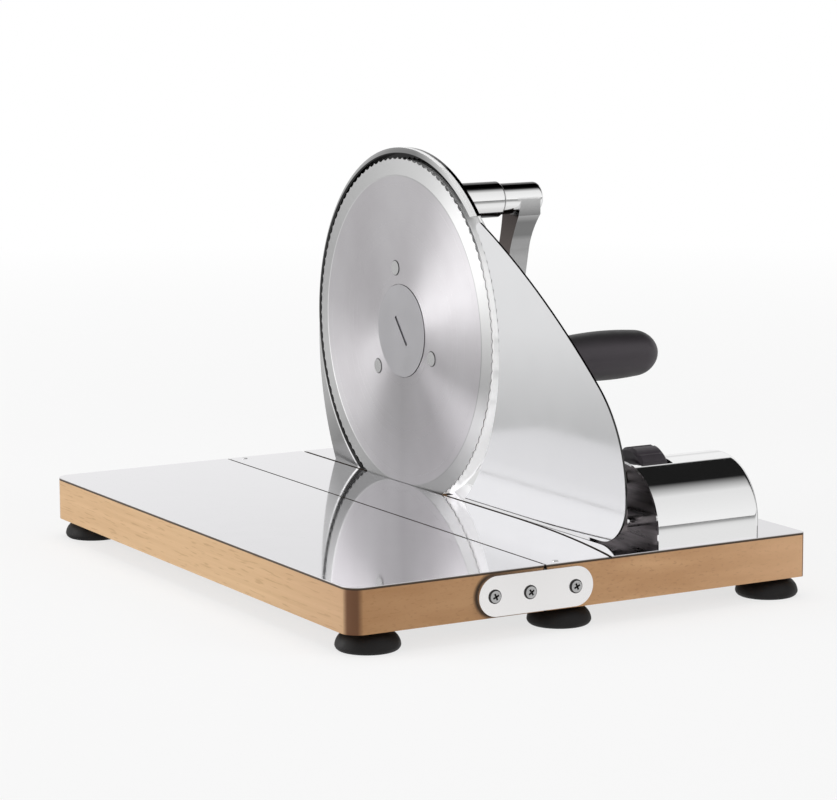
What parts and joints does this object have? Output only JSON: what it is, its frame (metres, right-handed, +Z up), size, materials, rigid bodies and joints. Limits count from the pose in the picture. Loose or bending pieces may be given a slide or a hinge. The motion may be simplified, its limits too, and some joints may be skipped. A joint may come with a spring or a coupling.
{
  "type": "hand crank bread slicer",
  "caption": "Folding hand crank bread slicer: round serrated blade with a guard, stop plate set by a wheel, geared crank with a turning grip, on a steel topped wooden board.",
  "frame": {"origin": "on the floor, under the middle of the bounding box", "axes": "+X to the crank grip, +Y to the back away from the operator, +Z up"},
  "size_m": [0.3084, 0.3536, 0.2185],
  "materials": {
    "wood_board": "oiled",
    "table_steel": "mirror polished stainless",
    "blade_steel": "satin ground, brighter bevel",
    "stop_steel": "polished stainless",
    "polished_chrome": "polished chrome plate",
    "link_steel": "satin plated",
    "screw_steel": "plain",
    "plain_steel": "machined",
    "bearing_brass": "machined",
    "gear_plastic": "moulded acetal",
    "black_rubber": "matt",
    "black_plastic": "satin gloss"
  },
  "bodies": {
    "machine": {"machine_board": "wood_board", "table_strip_plate": "table_steel", "strip_rivets": "screw_steel", "side_table_plate": "table_steel", "foot_front_middle": "black_rubber", "foot_front_right": "black_rubber", "foot_back_middle": "black_rubber", "foot_back_right": "black_rubber", "machine_foot_screws": "screw_steel", "pivot_screws": "screw_steel", "blade_axle": "plain_steel", "axle_nut": "screw_steel", "thrust_washer": "plain_steel", "gear_housing": "polished_chrome", "crank_bush_inner": "bearing_brass", "crank_bush_outer": "bearing_brass", "blade_guard": "polished_chrome", "housing_screws": "screw_steel", "guard_screws": "screw_steel", "bracket_screws": "screw_steel", "guide_bush_front": "bearing_brass", "guide_bush_back": "bearing_brass", "barrel_cover": "polished_chrome", "barrel_screws": "screw_steel", "barrel_end_plate": "plain_steel", "adjuster_bracket": "plain_steel"},
    "leaf": {"leaf_board": "wood_board", "leaf_table_plate": "table_steel", "link_plate_front": "link_steel", "link_plate_back": "link_steel", "link_screws": "screw_steel", "foot_front_left": "black_rubber", "foot_back_left": "black_rubber", "leaf_foot_screws": "screw_steel"},
    "crank": {"crank_shaft": "plain_steel", "crank_pinion": "plain_steel", "crank_arm": "polished_chrome", "crank_set_screw": "screw_steel", "grip_spindle": "plain_steel", "crank_washer": "plain_steel"},
    "grip": {"crank_grip": "black_plastic", "grip_end_cap": "black_plastic"},
    "blade": {"blade": "blade_steel", "blade_gear": "gear_plastic", "driver_rivets": "screw_steel"},
    "blade_lock": {"blade_lock_screw": "blade_steel"},
    "thickness_wheel": {"thickness_wheel": "black_plastic", "wheel_nut_insert": "bearing_brass"},
    "stop": {"stop_plate": "stop_steel", "stop_carrier": "plain_steel", "guide_rod_front": "plain_steel", "guide_rod_back": "plain_steel", "adjuster_spindle": "plain_steel"}
  },
  "joints": [
    {"name": "crank_turn", "type": "hinge", "parent": "machine", "child": "crank", "pos_m": [0.0498, 0.03022, 0.19002], "axis": [1, 0, 0], "continuous": true},
    {"name": "blade_spin", "type": "hinge", "parent": "machine", "child": "blade", "pos_m": [0.0042, 0.054, 0.1181], "axis": [1, 0, 0], "continuous": true},
    {"name": "grip_spin", "type": "hinge", "parent": "crank", "child": "grip", "pos_m": [0.0604, 0.03022, 0.09852], "axis": [1, 0, 0], "continuous": true},
    {"name": "lock_turn", "type": "hinge", "parent": "blade", "child": "blade_lock", "pos_m": [0.0028, 0.054, 0.1181], "axis": [1, 0, 0], "range_deg": [0, 90]},
    {"name": "stop_slide", "type": "slide", "parent": "machine", "child": "stop", "axis": [1, 0, 0], "range_m": [-0.003, 0.012]},
    {"name": "wheel_turn", "type": "hinge", "parent": "machine", "child": "thickness_wheel", "pos_m": [0.0268, -0.1348, 0.0639], "axis": [1, 0, 0], "range_deg": [-72.05, 288.05]},
    {"name": "leaf_fold", "type": "hinge", "parent": "machine", "child": "leaf", "pos_m": [-0.0302, 0, 0.0215], "axis": [0, 1, 0], "range_deg": [0, 90]}
  ],
  "couplings": [
    {"joint": "blade_spin", "follows": "crank_turn", "ratio": -0.18824},
    {"joint": "wheel_turn", "follows": "stop_slide", "rad_per_m": 418.88}
  ]
}
